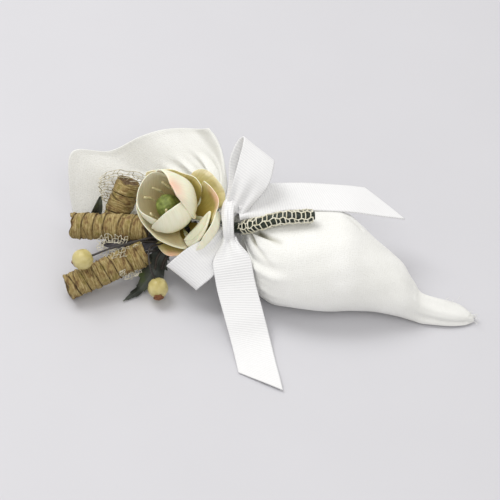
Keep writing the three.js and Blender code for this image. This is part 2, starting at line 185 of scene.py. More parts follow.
def make_object(name, vertices, faces, materials, face_materials=None, uv=None, values=None, blush=None):
    mesh = bpy.data.meshes.new(name)
    mesh.from_pydata([tuple(v) for v in np.asarray(vertices)], [], [tuple(f) for f in faces])
    for material in materials:
        mesh.materials.append(material)
    if face_materials is not None:
        mesh.polygons.foreach_set("material_index", np.asarray(face_materials, np.int32))
    mesh.polygons.foreach_set("use_smooth", [True] * len(mesh.polygons))
    loops = np.empty(len(mesh.loops), np.int32)
    mesh.loops.foreach_get("vertex_index", loops)
    if uv is not None:
        layer = mesh.uv_layers.new(name="cloth")
        layer.data.foreach_set("uv", np.asarray(uv, np.float32)[loops].ravel())
    for key, numbers in (("shade", values), ("blush", blush)):
        if numbers is not None:
            layer = mesh.attributes.new(key, "FLOAT", "POINT")
            layer.data.foreach_set("value", np.asarray(numbers, np.float32).ravel())
    mesh.update()
    piece = add_object(name, mesh)
    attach(piece, "root")
    return piece


def declare(piece, slot, node=None):
    """Hide the CAD node that the piece stands for, if there is one; the slot is not used."""
    if node:
        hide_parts(node)


def quads(rows, columns, offset=0, wrap=False):
    """Faces of a grid of rows + 1 by columns + 1 vertices, or by columns where it wraps round."""
    width = columns if wrap else columns + 1
    j, i = np.meshgrid(np.arange(rows), np.arange(columns), indexing="ij")
    here, right = j * width + i, j * width + (i + 1) % width
    return np.stack([here, right, right + width, here + width], -1).reshape(-1, 4) + offset


def sheet(name, grid, thickness, materials, uv, shade=None, blush=None):
    """A closed sheet `thickness` mm thick round `grid`, in metres. A second material is for its back."""
    rows, columns = grid.shape[0] - 1, grid.shape[1] - 1
    half = np.broadcast_to(np.asarray(thickness, float) * MM / 2, grid.shape[:2])[..., None]
    normals = normals_of(grid)
    vertices = np.concatenate([(grid + normals * half).reshape(-1, 3), (grid - normals * half).reshape(-1, 3)])
    size = (rows + 1) * (columns + 1)
    front = quads(rows, columns)
    back = front[:, ::-1] + size
    index = np.arange(size).reshape(rows + 1, columns + 1)
    rim = np.concatenate([index[0, :-1], index[:-1, -1], index[-1, :0:-1], index[:0:-1, 0]])
    ahead = np.roll(rim, -1)
    edge = np.stack([ahead, rim, rim + size, ahead + size], -1)
    faces = np.concatenate([front, back, edge])
    kinds = [0] * len(front) + [len(materials) - 1] * len(back) + [0] * len(edge)
    uv = np.concatenate([uv.reshape(-1, 2)] * 2)
    shade, blush = (None if value is None else np.concatenate([value.ravel()] * 2) for value in (shade, blush))
    return make_object(name, vertices, faces.tolist(), materials, kinds, uv, shade, blush)


def tube(name, rings, material, uv=None, shade=None):
    """A closed body through rings of points, shape rows by sides by 3, in metres, capped at both ends."""
    rows, sides = rings.shape[0] - 1, rings.shape[1]
    vertices = np.concatenate([rings.reshape(-1, 3), rings[0].mean(0)[None], rings[-1].mean(0)[None]])
    faces = quads(rows, sides, wrap=True).tolist()
    first = rings.shape[0] * sides
    for k in range(sides):
        after = (k + 1) % sides
        faces.append([after, k, first])
        faces.append([rows * sides + k, rows * sides + after, first + 1])
    if uv is not None:
        uv = np.concatenate([uv.reshape(-1, 2), uv[0, :1], uv[-1, :1]])
    values = None if shade is None else np.concatenate([shade.ravel(), shade[0, :1], shade[-1, :1]])
    return make_object(name, vertices, faces, [material], None, uv, values)


def circle_frames(path):
    """Two unit vectors square to each step of a path, turned as little as possible from step to step."""
    tangents = unit(np.gradient(path, axis=0))
    side = np.cross(tangents[0], [0.3, 0.2, 1.0])
    sides = []
    for tangent in tangents:
        side = square_to(tangent, side)
        sides.append(side)
    sides = np.array(sides)
    return sides, np.cross(tangents, sides)


def rod_rings(path, radius, sides):
    """Rings of a round rod along a path; radius is one number, or one for each step and side."""
    first, second = circle_frames(path)
    radius = np.broadcast_to(np.asarray(radius, float), (len(path), sides))
    return path[:, None] + on_circle(radius, round_angles(sides), first[:, None], second[:, None])


def threads(name, paths, radius, material, place, taper=0.5):
    """Many fine threads as one mesh. Each path is an array of points in mm, placed by `place`."""
    vertices, faces, uv = [], [], []
    sides = 5
    for path in paths:
        rings = rod_rings(path, radius * np.linspace(1, taper, len(path))[:, None], sides)
        start = sum(len(v) for v in vertices)
        vertices.append(place(rings.reshape(-1, 3)))
        rows = len(path) - 1
        faces += quads(rows, sides, start, wrap=True).tolist()
        faces.append([start + k for k in range(sides)][::-1])
        faces.append([start + rows * sides + k for k in range(sides)])
        length = np.repeat(np.arange(len(path)), sides)
        uv.append(np.stack([np.tile(np.arange(sides), len(path)), length], -1) * 0.4)
    return make_object(name, np.concatenate(vertices), faces, [material], None, np.concatenate(uv))


# ---- materials


class Material:
    """A principled material with a few shorthands for its nodes."""

    def __init__(self, name, color, roughness, **sockets):
        self.material = bpy.data.materials.new(name)
        self.material.use_nodes = True
        self.tree = self.material.node_tree
        self.shader = self.tree.nodes["Principled BSDF"]
        self.shader.inputs["Base Color"].default_value = (*color, 1)
        self.shader.inputs["Roughness"].default_value = roughness
        for socket, value in sockets.items():
            self.shader.inputs[socket.replace("_", " ")].default_value = value

    def set(self, socket, value):
        if isinstance(value, bpy.types.NodeSocket):
            self.tree.links.new(value, socket)
        elif socket.type == "RGBA":
            socket.default_value = (*value, 1)
        else:
            socket.default_value = value

    def node(self, kind, inputs=None, out=0, **settings):
        """One output of a new node; `inputs` holds values or sockets by input name or number."""
        node = self.tree.nodes.new("ShaderNode" + kind)
        for key, value in settings.items():
            setattr(node, key, value)
        for key, value in (inputs or {}).items():
            self.set(node.inputs[key], value)
        return node.outputs[out]

    def math(self, operation, a, b=0.0):
        return self.node("Math", {0: a, 1: b}, operation=operation)

    def times(self, a, b):
        return self.math("MULTIPLY", a, b)

    def plus(self, a, b):
        return self.math("ADD", a, b)

    def mix(self, factor, a, b, blend="MIX"):
        return self.node("Mix", {0: factor, 6: a, 7: b}, 2, data_type="RGBA", blend_type=blend)

    def vectors(self, operation, a, b):
        return self.node("VectorMath", {0: a, 1: b}, operation=operation)

    def split(self, vector):
        """The x and y of a vector."""
        x = self.node("SeparateXYZ", {0: vector})
        return x, x.node.outputs[1]

    def uv(self):
        """The cloth's own coordinates in mm: x across and y along."""
        return self.node("UVMap", uv_map="cloth")

    def attribute(self, name):
        return self.node("Attribute", out="Fac", attribute_name=name)

    def grain(self, x, y, detail, roughness=0.5):
        """Noise on the uv, with x and y features to the mm."""
        vector = self.vectors("MULTIPLY", self.uv(), (x, y, 1))
        inputs = {"Vector": vector, "Scale": 1.0, "Detail": detail, "Roughness": roughness}
        return self.node("TexNoise", inputs)

    def noise(self, scale, detail):
        """Noise through the piece, with `scale` features to the mm."""
        vector = self.vectors("MULTIPLY", self.node("TexCoord", out="Object"), (1 / MM, 1 / MM, 1 / MM))
        return self.node("TexNoise", {"Vector": vector, "Scale": scale, "Detail": detail, "Roughness": 0.5})

    def steps(self, factor, positions, colors):
        """A colour ramp."""
        output = self.node("ValToRGB", {"Fac": factor}, "Color")
        elements = output.node.color_ramp.elements
        while len(elements) < len(positions):
            elements.new(0.5)
        for element, position, color in zip(elements, positions, colors):
            element.position = position
            element.color = (*color, 1)
        return output

    def color(self, value):
        self.set(self.shader.inputs["Base Color"], value)

    def bump(self, height, depth_mm, strength):
        inputs = {"Strength": strength, "Distance": depth_mm * MM, "Height": height}
        self.set(self.shader.inputs["Normal"], self.node("Bump", inputs, "Normal"))


WEAVE_PITCH = 0.8  # mm, coarser than real muslin so that it shows
TWILL_PITCH = 0.35  # mm, the fine threads across the ribbon


def weave_height(m, vector):
    """Plain weave over a uv in mm: crossing threads that go over and under each other."""
    warp, weft = (
        m.math("ABSOLUTE", m.math("SINE", m.times(along, math.pi / WEAVE_PITCH))) for along in m.split(vector)
    )
    return m.math("MAXIMUM", warp, weft)


def muslin():
    m = Material(
        "muslin", (0.86, 0.85, 0.80), 0.92, Sheen_Weight=0.25, Sheen_Roughness=0.6, Specular_IOR_Level=0.2
    )
    bend = m.times(m.math("SUBTRACT", m.grain(0.35, 0.35, 2), 0.5), 3.0)
    height = weave_height(m, m.vectors("ADD", m.uv(), m.node("CombineXYZ", {0: bend, 1: bend})))
    slubs = m.plus(m.grain(0.12, 2.0, 2), m.grain(2.0, 0.12, 2))
    tone = m.steps(m.noise(0.06, 3), (0.3, 0.7), [(0.85, 0.85, 0.815), (0.90, 0.90, 0.875)])
    weave = m.steps(height, (0.35, 0.85), [(0.70, 0.69, 0.62), (1, 1, 1)])
    # painted shade: the shade attribute, set in the bag's creases, mixes the cloth towards dark khaki
    m.color(m.mix(m.attribute("shade"), m.mix(0.25, tone, weave, "MULTIPLY"), (0.30, 0.28, 0.18)))
    m.bump(m.plus(height, m.times(slubs, 0.9)), 0.16, 0.55)
    return m.material


def grosgrain():
    m = Material(
        "grosgrain", (0.82, 0.82, 0.83), 0.5, Sheen_Weight=0.25, Sheen_Roughness=0.4, Specular_IOR_Level=0.3
    )
    across, along = m.split(m.uv())
    rib = m.math("SINE", m.times(along, math.tau / RIB_PITCH))
    fine = m.math("SINE", m.times(across, math.tau / TWILL_PITCH))
    mottle = m.grain(0.3, 3, 2)
    # painted shade: the ribbon is painted darker in the grooves between its ribs, where shade falls; the mottle
    # adds random tone
    rib_shade_and_mottle = m.plus(m.times(rib, 0.35), mottle)
    m.color(m.steps(rib_shade_and_mottle, (0.15, 0.5, 0.8), [(0.80, 0.80, 0.805), (0.835, 0.835, 0.84), (0.86, 0.86, 0.86)]))
    m.bump(m.plus(m.times(fine, 0.5), m.plus(mottle, rib)), 0.04, 0.5)
    return m.material


def net_thread(name, *tones):
    m = Material(name, (0.80, 0.76, 0.60), 0.7)
    m.color(m.steps(m.noise(0.5, 3), (0.3, 0.55, 0.75), tones))
    m.bump(m.noise(6.0, 2), 0.08, 0.6)
    return m.material


PINK = (0.90, 0.48, 0.34)


def petal(name, positions, colors, streak, subsurface):
    """Waxy cloth petal: colour by distance from the base, veins along it, and blush towards some edges."""
    m = Material(name, colors[-1], 0.55, Subsurface_Weight=subsurface, Subsurface_Scale=2 * MM)
    veins = m.grain(1.6, 0.12, 3)
    cloud = m.times(m.math("SUBTRACT", m.noise(0.16, 3), 0.5), 0.35)
    reach = m.attribute("shade")  # 0 at the petal's base, 1 at its edge
    base = m.steps(m.plus(reach, cloud), positions, colors)
    streaks = m.steps(veins, (0.35, 0.65), [streak, (1, 1, 1)])
    m.color(m.mix(m.times(m.attribute("blush"), 0.75), m.mix(0.7, base, streaks, "MULTIPLY"), PINK))
    m.bump(veins, 0.1, 0.45)
    return m.material


# For each side of a petal: places from its base to its edge, their colours, its streaks, the light it scatters.
PETAL_SKINS = {
    "petal_outside": (
        (0, 0.25, 0.55, 1),
        [(0.34, 0.36, 0.10), (0.64, 0.62, 0.32), (0.87, 0.85, 0.65), (0.92, 0.895, 0.72)],
        (0.92, 0.92, 0.87), 0.12,
    ),
    "petal_inside": (
        (0, 0.4, 0.75, 0.93, 1),
        [
            (0.19, 0.125, 0.012), (0.37, 0.28, 0.055), (0.50, 0.415, 0.125), (0.66, 0.585, 0.30),
            (0.86, 0.79, 0.55),
        ],
        (0.80, 0.78, 0.70), 0.05,
    ),
    "petal_pale_inside": (
        (0, 0.4, 0.75, 0.93, 1),
        [(0.36, 0.30, 0.10), (0.68, 0.57, 0.31), (0.86, 0.79, 0.55), (0.89, 0.85, 0.66), (0.91, 0.88, 0.72)],
        (0.84, 0.83, 0.78), 0.08,
    ),
}
BARK_FIBRES = [(0.13, 0.08, 0.03), (0.27, 0.195, 0.075), (0.42, 0.33, 0.15), (0.70, 0.61, 0.38)]
BARK_TINTS = [(0.42, 0.28, 0.20), (0.86, 0.79, 0.62), (1.0, 0.98, 0.92), (0.66, 0.66, 0.36)]


def bark():
    m = Material("bark", (0.34, 0.25, 0.11), 0.85)
    grain = m.grain(0.16, 1.9, 5, 0.7)
    fibre = m.steps(grain, (0.3, 0.43, 0.56, 0.72), BARK_FIBRES)
    tint = m.steps(m.grain(0.28, 0.34, 4), (0.36, 0.45, 0.54, 0.64), BARK_TINTS)
    seam = m.attribute("shade")  # 1 in the seam between two strips, and 0.6 inside the hole through the roll, where it is painted shade
    m.color(m.mix(m.times(seam, 0.85), m.mix(0.8, fibre, tint, "MULTIPLY"), (0.07, 0.035, 0.012)))
    m.bump(m.math("SUBTRACT", grain, seam), 0.45, 0.8)
    return m.material


def wood():
    m = Material("stick_wood", (0.12, 0.07, 0.03), 0.9)
    rings = m.noise(0.9, 4)
    m.color(m.steps(rings, (0.35, 0.65), [(0.05, 0.025, 0.01), (0.22, 0.14, 0.06)]))
    m.bump(rings, 0.4, 0.7)
    return m.material


def mottled(name, dark, light, roughness, scale, depth=0.1):
    """A plain moulded or waxed finish with a two-tone mottle and a fine texture."""
    m = Material(name, light, roughness)
    m.color(m.steps(m.noise(scale, 4), (0.3, 0.7), [dark, light]))
    m.bump(m.noise(scale * 8, 3), depth, 0.5)
    return m.material


def leaf_cloth(name, dark, light, olive):
    m = Material(name, dark, 0.42, Specular_IOR_Level=0.5)
    vein = m.attribute("shade")  # 1 on the veins
    base = m.steps(m.noise(0.14, 3), (0.35, 0.52, 0.68), [dark, light, olive])
    m.color(m.mix(m.times(vein, 0.4), base, [1.6 * c for c in light]))
    m.bump(m.plus(m.times(vein, -1.0), m.noise(3, 2)), 0.15, 0.6)
    return m.material


# ---- pouch

# Stations of the bag: x, middle y, middle z, half width in y, half height in z.
BAG = np.array([
    [-12.5, -2.2, 22.2, 4.2, 4.2],
    [-8.4, -4.6, 21.2, 4.2, 4.2],
    [-5.4, -6.4, 20.3, 4.4, 4.4],
    [-2.6, -8.8, 18.5, 8.4, 8],
    [-0.7, -11.9, 16.2, 13.2, 12.1],
    [1.9, -15.1, 14.7, 17.2, 14.7],
    [8, -19.3, 15.9, 21.2, 17.3],
    [15, -21.3, 16.8, 22.8, 18.5],
    [24, -22.4, 17.1, 23.2, 18.9],
    [34, -23, 16.9, 23.2, 18.6],
    [41, -23.8, 16.2, 22.3, 17.9],
    [48.5, -26.4, 13.7, 18.8, 15.3],
    [55, -28.8, 11.4, 16.2, 12.9],
    [63, -31.9, 8.6, 12.6, 10],
    [67.5, -35, 6.1, 8.8, 7],
    [71, -37.4, 4.5, 6.6, 5],
    [80, -38.9, 3.2, 6.2, 3.6],
    [87, -39.6, 2.2, 5, 2.4],
    [92, -41.2, 1.1, 1.5, 1.1],
])


def groove(points, start, end, width):
    """How much points (u, v) are in a crease that runs from start to end, 1 at its head, fading out."""
    start, end = np.asarray(start, float), np.asarray(end, float)
    along = np.clip(((points - start) @ (end - start)) / ((end - start) @ (end - start)), 0, 1)
    nearest = start + along[..., None] * (end - start)
    gap = np.linalg.norm(points - nearest, axis=-1)
    return bell(gap, width * (0.6 + 0.8 * along)) * (1 - along) ** 0.7


# Folds round the bag, as height, number of waves and phase.
TIE_FOLDS = [(0.5, 9, 0.4), (0.4, 13, 2.0), (0.3, 17, 4.1), (0.25, 23, 1.0)]
TAIL_FOLDS = [(0.6, 3, 1.2), (0.5, 5, 0.3), (0.2, 8, 2.2)]
# Creases by the tie in the leaning plane: start, end, width, depth, and how dark the painted shade in the
# crease is.
CREASES = [
    ((-0.8, 8.2), (2.4, 1), 0.7, 2.8, 1.0),
    ((2.6, 7.6), (13.6, 2.4), 1.1, 3.0, 1.0),
    ((-3, 5), (-1.5, -9), 0.9, 1.6, 0.4),
    ((0.5, 4), (10, -9), 1.0, 0.9, 0.2),
    ((46, 8.5), (38, 16.2), 0.8, 0.9, 0.15),
]
FRONT_DEPTH = 16  # the creases are cut only where the bag stands this far off the leaning plane
REST_HEIGHT = 1.2  # cloth lower than this spreads flat on what the bag rests on
UV_RADIUS = 20  # the bag's radius for its weave


def make_bag(cloth):
    rows, sides = 260, 240
    stations = spline(BAG, np.linspace(0, 1, rows + 1))
    angle = round_angles(sides)
    x = np.repeat(stations[:, :1], sides, 1)
    gathers, tail_folds = (
        sum(height * np.cos(waves * angle + phase) for height, waves, phase in folds)[None]
        for folds in (TIE_FOLDS, TAIL_FOLDS)
    )
    near_tie = (1 - ramp(x, -4, 20)) * (0.35 + 0.9 * ramp(x, -8, 2))
    near_tail = ramp(x, 60, 72) * (1 - ramp(x, 88, 94))
    swell = gathers * near_tie + tail_folds * near_tail * 0.9
    half_y = stations[:, 3:4] + swell
    half_z = stations[:, 4:5] + swell * np.minimum(1, stations[:, 4:5] / 5)
    y = stations[:, 1:2] + half_y * np.cos(angle)
    z = stations[:, 2:3] + half_z * np.sin(angle)
    grid = np.stack([x, y, z], -1)
    closed = np.concatenate([grid, grid[:, :1]], 1)
    normals = -normals_of(closed)[:, :-1]
    middle = np.stack(np.broadcast_arrays(x, stations[:, 1:2], stations[:, 2:3]), -1)
    normals = normals * np.sign(np.sum((grid - middle) * normals, -1, keepdims=True))
    full = ramp(x, 2, 22) * (1 - ramp(x, 58, 74))
    lumps = 0.5 * ripple(grid, 26, 3, 1) * full + 0.1 * ripple(grid, 11, 5, 1) * ramp(x, -2, 8)
    leaning = np.stack([grid[..., 0], (grid[..., 1] + grid[..., 2]) * LEAN], -1)
    front = (grid[..., 2] - grid[..., 1]) * LEAN > FRONT_DEPTH
    creases = sum(depth * groove(leaning, *ends, width) for *ends, width, depth, _ in CREASES) * front
    # painted shade: how dark each crease is, kept as the shade attribute, darkens the cloth where shade falls
    # in the crease
    tint = sum(dark * groove(leaning, *ends, 0.8 * width) for *ends, width, _, dark in CREASES) * front
    pushed = grid + normals * (lumps - creases)[..., None]
    height = pushed[..., 2]
    pushed[..., 2] = np.where(height < REST_HEIGHT, 0.25 + 0.95 * np.exp((height - REST_HEIGHT) / 1.6), height)
    uv = np.stack(np.broadcast_arrays(UV_RADIUS * angle, run_of(pushed)[:, None]), -1)
    bag = tube("muslin_bag", upright(pushed)[:, ::-1], cloth, uv[:, ::-1], np.clip(tint, 0, 1)[:, ::-1])
    declare(bag, "muslin", "pouch_bag")


NECK = np.array([-14.4, -1.1, 22.6])
NECK_RADIUS = 4
NECK_AXIS = unit([-0.86, 0.46, 0.2])
NECK_UP = square_to(NECK_AXIS, [0, 0, 1])
NECK_BACK = unit(np.cross(NECK_AXIS, NECK_UP))
MOUTH_MIDDLE = [[-2.5, 12, 35], [-17, 22, 26], [-37, 24, 14], [-50, 20, 7], [-46, 5, 4]]
MOUTH_RIM = [
    [-16, 31, 41], [-34, 34.5, 37.5], [-46, 33, 34.5], [-59, 30, 29], [-74.6, 27, 31.5], [-76, 20, 17],
    [-73.5, 12, 3],
]
MOUTH_THICKNESS = 0.45
PLEAT_DEPTH = 3.5


def make_mouth(cloth):
    """Half a funnel of cloth: u runs round the neck and v out to the rim."""
    u, v = grid_of(110, 200)
    angle = math.pi * u
    radius = NECK_RADIUS + 0.35 * np.cos(19 * angle) + 0.25 * np.cos(31 * angle + 1)
    root = NECK + on_circle(radius, angle, NECK_UP, NECK_BACK)
    grid = bezier(root, spline(MOUTH_MIDDLE, u), spline(MOUTH_RIM, u), v[..., None])
    pleats = 0.6 * np.cos(math.tau * (8.5 * u + 0.1)) + 0.4 * np.cos(math.tau * (13.5 * u + 0.37))
    pleats = pleats * PLEAT_DEPTH * ramp(v, 0, 0.22) * (1 - ramp(v, 0.25, 0.76))
    sway = 0.9 * ripple(grid, 34, 11, 1) * ramp(v, 0.2, 0.6)
    turned = 4.5 * (1 - ramp(u, 0, 0.1)) ** 2 * ramp(v, 0.15, 0.6) + 0.3 * ramp(v, 0.9, 1) ** 2
    grid = grid + normals_of(grid) * (pleats + sway - turned)[..., None]
    corner = (1 - ramp(u, 0, 0.12)) * ramp(v, 0.8, 1)
    grid = grid + (NECK - grid) * (0.04 * corner**2)[..., None]
    uv = np.stack([run_of(grid, 1)[None] + 0 * v, 46 * v], -1)
    mouth = sheet("muslin_mouth", upright(grid), MOUTH_THICKNESS, [cloth], uv, 0 * v)
    declare(mouth, "muslin", "pouch_mouth")


FRAY = 0.13  # radius of a loose thread


def make_fray(cloth):
    """Loose threads at the bag's tip and along its tail."""
    draws = np.random.default_rng(5)
    paths = []
    for _ in range(16):
        start = np.array([draws.uniform(86, 93), draws.uniform(-43, -40), draws.uniform(1.6, 3.6)])
        way = unit([draws.uniform(0.2, 1), draws.uniform(-0.8, 0.9), draws.uniform(-0.1, 0.25)])
        bend = draws.normal(size=3) * [0.5, 0.5, 0.1]
        steps = np.linspace(0, 1, 7)[:, None]
        paths.append(start + way * draws.uniform(2, 4.6) * steps + bend * steps**2)
    for _ in range(12):
        start = np.array([draws.uniform(68, 86), draws.uniform(-38, -33.5), draws.uniform(4.5, 7)])
        way = unit([draws.uniform(0.2, 0.8), draws.uniform(0.5, 1), draws.uniform(0, 0.3)])
        paths.append(start + way * draws.uniform(1, 2) * np.linspace(0, 1, 5)[:, None])
    declare(threads("frayed_threads", paths, FRAY, cloth, upright), "muslin")


# ---- bow

RIBBON = 16.0
RIBBON_THICKNESS = 0.5
RIB_PITCH = 1.05
RIB_HEIGHT = 0.045
# For each length of ribbon: its piece and CAD node, its length, the seed of its ripples, how much shorter one
# edge is cut (0 for a loop), its width at the knot as a share, its path, and the way its width lies on it.
RIBBONS = [
    ("bow_upper", "bow_loop_upper", 58, 5, 0, 0.55, [
        [-6.5, 15.5, 33], [-2.5, 23, 36], [1.3, 31, 37.5], [3.4, 38.5, 36.5], [3.5, 41.6, 33.5],
        [1, 39.8, 30.6], [-1.4, 34, 29.4], [-3.2, 26, 30], [-6.5, 18, 31],
    ], [
        [0.9, -0.3, 0.1], [0.86, -0.5, 0], [0.8, -0.6, 0], [0.78, -0.62, -0.1], [0.78, -0.62, -0.1],
        [0.8, -0.55, -0.15], [0.88, -0.35, -0.2], [0.95, -0.2, -0.1], [1, 0, 0],
    ]),
    ("bow_lower", "bow_loop_lower", 54, 21, 0, 0.55, [
        [-9.5, 6.5, 32.2], [-14.5, 0.4, 34.2], [-20, -4.6, 35], [-25.8, -9.4, 33.6], [-27.9, -11.2, 30.8],
        [-25.6, -9.2, 28.2], [-20, -4.5, 27.8], [-14, 1, 29], [-10.4, 6, 30.6],
    ], [
        [0.6, -0.8, 0.1], [0.62, -0.78, 0], [0.68, -0.72, 0], [0.76, -0.64, 0.04], [0.77, -0.63, 0.04],
        [0.72, -0.68, 0], [0.66, -0.74, 0], [0.6, -0.8, 0], [0.6, -0.8, 0],
    ]),
    ("tail_side", "ribbon_tail_side", 72, 23, 0.12, 0.55, [
        [-4.6, 16.6, 33.8], [2, 19.2, 32.4], [10, 21.6, 30], [22, 22.2, 27], [38, 21.6, 24], [64, 18.6, 17],
    ], [
        [0.1, -1, -0.1], [0.1, -0.9, 0.35], [0.05, -0.75, 0.62], [0, -1, 1], [0, -1, 1], [0, -1, 1],
    ]),
    ("tail_front", "ribbon_tail_front", 72, 24, 0.085, 0.36, [
        [-8.6, 5, 34.8], [-8.2, 0, 36.3], [-7.2, -6, 36.9], [-5.6, -15, 36.9], [-2.4, -27, 38.5],
        [1, -40, 42.4], [5.5, -58.1, 58.8],
    ], [
        [1, 0.1, 0.1], [0.97, 0.2, 0.1], [0.97, 0.24, 0.02], [0.97, 0.24, -0.02], [0.97, 0.22, -0.08],
        [0.98, 0.15, -0.12], [0.98, 0.13, -0.13],
    ]),
]


def make_bow(material):
    """Loops and tails: each is a ribbon that is gathered at the knot and opens out away from it."""
    for name, node, length, seed, cut, pinch, path, side in RIBBONS:
        loop = cut == 0
        u, v = grid_of(300 if loop else 420, 28)
        t = v * (1 - cut * (1 - u))
        reach = ramp(np.minimum(v, 1 - v), 0, 0.3) if loop else ramp(v, 0, 0.35)
        width = RIBBON * (pinch + (1 - pinch) * reach)
        grid = spline(path, t) + unit(spline(side, t)) * ((u - 0.5) * width)[..., None]
        folds = 0.7 * np.cos(math.tau * (2.2 * u + 0.1)) * (1 - reach)
        lift = folds - 0.25 * (2 * u - 1) ** 2 + 0.25 * ripple(grid, 22, seed, 1)
        grid = grid + normals_of(grid) * lift[..., None]
        along = run_of(grid)[:, None] + 0 * u
        ribs = RIB_HEIGHT * np.sin(math.tau * along / RIB_PITCH)
        selvedge = 0.12 * bell(np.abs(2 * u - 1) - 0.95, 0.03)
        uv = np.stack([RIBBON * u, along], -1)
        piece = sheet(name, lean(grid), RIBBON_THICKNESS + ribs + selvedge, [material], uv)
        declare(piece, "grosgrain", node)


KNOT_MIDDLE = [[-8.4, 2.2, 32.6], [-8.8, 6.5, 35.4], [-9, 11, 36], [-9.1, 16, 35.2], [-8.4, 21.4, 32.8]]
KNOT_HALF_WIDTH = [[2.9], [2.5], [2.4], [3.0], [3.8]]
KNOT_LENGTH = 23


def make_knot(material):
    """The knot: a flat, creased turn of ribbon that runs up the front."""
    rows, sides = 110, 96
    t = np.linspace(0, 1, rows + 1)[:, None]
    angle = round_angles(sides)[None]
    rounded = np.sin(math.pi * np.clip(t, 0.01, 0.99)) ** 0.3
    boxy_cos = np.sign(np.cos(angle)) * np.abs(np.cos(angle)) ** 0.7
    boxy_sin = np.sign(np.sin(angle)) * np.abs(np.sin(angle)) ** 0.8
    across = spline(KNOT_HALF_WIDTH, t[:, 0]) * boxy_cos * rounded
    folds = 0.42 * np.sin(2.3 * across + 5 * t) + 0.2 * np.sin(4.9 * across - 6 * t + 1)
    lift = (1.5 * boxy_sin + folds * np.clip(np.sin(angle), 0, 1)) * rounded
    grid = spline(KNOT_MIDDLE, t) + across[..., None] * [1.0, 0.12, 0] + lift[..., None] * [0, 0, 1.0]
    uv = np.stack(np.broadcast_arrays(across + RIBBON / 2, KNOT_LENGTH * t), -1)
    declare(tube("knot", lean(grid), material, uv), "grosgrain", "bow_knot")


BAND_MIDDLE = np.array([-9.6, 10.9, 20.8])
BAND_AXIS = unit([-0.87, 0.46, -0.18])
BAND_TALL, BAND_DEEP = 9.3, 7.1  # radii
BAND_LENGTH, BAND_WIDTH = 50, 6.2  # once round the neck and the stem; the width that the ribbon is crushed to
BAND_THICKNESS = 0.26
GATHER = 0.78  # how far the band's folds stand in and out


def make_band(material):
    tall_way = square_to(BAND_AXIS, [0, 0, 1])
    deep_way = np.cross(BAND_AXIS, tall_way)
    u, v = grid_of(160, 72)
    angle = math.tau * v * 0.97
    crush = GATHER * np.cos(math.tau * 3 * u + 0.9 * np.sin(2 * angle))
    ring = ((BAND_TALL + crush) * np.cos(angle))[..., None] * tall_way
    ring = ring + ((BAND_DEEP + crush) * np.sin(angle))[..., None] * deep_way
    grid = BAND_MIDDLE + ring + ((u - 0.5) * BAND_WIDTH)[..., None] * BAND_AXIS
    uv = np.stack([RIBBON * u, BAND_LENGTH * v], -1)
    band = sheet("band", lean(grid), BAND_THICKNESS, [material], uv)
    declare(band, "grosgrain", "ribbon_band")


# ---- pick

STEM = [
    [-19, 11, 20.5], [-14, 9.6, 23.5], [-9, 9.2, 25.6], [-2, 9.4, 31.4], [3.8, 10.8, 37.4], [11.8, 12.8, 41.2],
    [19, 13.6, 42.6], [26.5, 14, 42.4],
]
STEM_RADIUS = 2.0
TAPE_TURNS = 14
# Path and radius of each taped stem of the leaves and berries, gathered behind the flower.
PICK_STEMS = [
    ([[-22, 10, 18.5], [-30, 4.5, 17.6], [-37, 0.4, 17], [-40.5, -3.5, 17.2]], 1.5),
    ([[-22, 11, 17], [-32, 6.6, 15], [-41, 4.6, 14], [-47, 4.4, 13]], 1.2),
    ([[-21, 8, 20], [-29, 1.5, 21], [-34.5, -3, 21], [-36.6, -8, 20.4]], 0.7),
    ([[-22, 9, 19], [-30, 2.8, 20.5], [-37.6, -1.5, 22], [-39.4, -8, 22]], 0.5),
    ([[-24, 9, 18], [-36, 3.8, 20], [-45, 3.4, 21], [-52, 1.6, 21.6]], 0.5),
]


def make_stem(material):
    rows, sides = 240, 40
    t = np.linspace(0, 1, rows + 1)[:, None]
    angle = round_angles(sides)[None]
    wires = 0.16 * np.abs(np.cos(2.5 * angle + 3 * t))
    turns = 0.09 * np.abs(np.sin(math.pi * (t * TAPE_TURNS + angle / math.tau)))
    radius = (STEM_RADIUS + wires + turns) * (1 - 0.25 * ramp(t, 0.96, 1))
    stem = tube("stem", lean(rod_rings(spline(STEM, t[:, 0]), radius, sides)), material)
    declare(stem, "floral_tape", "stem_bundle")


def make_pick_stems(material):
    steps, sides = 50, 14
    for k, (path, radius) in enumerate(PICK_STEMS, 1):
        line = spline(path, np.linspace(0, 1, steps))
        wound = 0.1 * np.sin(round_angles(sides)[None] + np.linspace(0, 40, steps)[:, None])
        rings = rod_rings(line, radius * (1 + wound + 0.06 * ripple(line, 3, k)[:, None]), sides)
        declare(tube(f"pick_stem_{k}", lean(rings), material), "floral_tape")


def make_net(name, paths, strand, material, node, flat):
    """A net of fine round strands, cut from a piece `flat` millimetres wide and long; `flat` is not used."""
    piece = threads(name, paths, strand, material, lean, taper=1)
    declare(piece, "net", node)
    length = sum(np.linalg.norm(np.diff(path, axis=0), axis=1).sum() for path in paths)


def cells(surface, across, along):
    """Strands of an open net on surface(u, v): six-sided cells with a strand left out here and there."""
    draws = np.random.default_rng(9)
    paths, knots = [], {}

    def knot(i, j):
        if (i, j) not in knots:
            jog = draws.uniform(-0.12, 0.12, 2)
            knots[i, j] = np.clip([(i + 0.5 * (j % 2) + jog[0]) / across, (j + jog[1]) / along], 0, 1)
        return knots[i, j]

    for j in range(along + 1):
        for i in range(across + 1 - j % 2):
            ends = [knot(i + 1, j)] if i < across - j % 2 else []
            if j < along and i + 0.5 * (j % 2) <= across:
                ends.append(knot(i, j + 1) if i < across else knot(i - 1, j + 1))
                if j % 2 == 1 or i > 0:
                    ends.append(knot(i + 1 if j % 2 else i - 1, j + 1))
            for end in ends[: 1 if (i + j) % 3 == 0 else 2]:
                line = np.linspace(knot(i, j), end, 5)
                paths.append(surface(line[:, 0], line[:, 1]))
    return paths


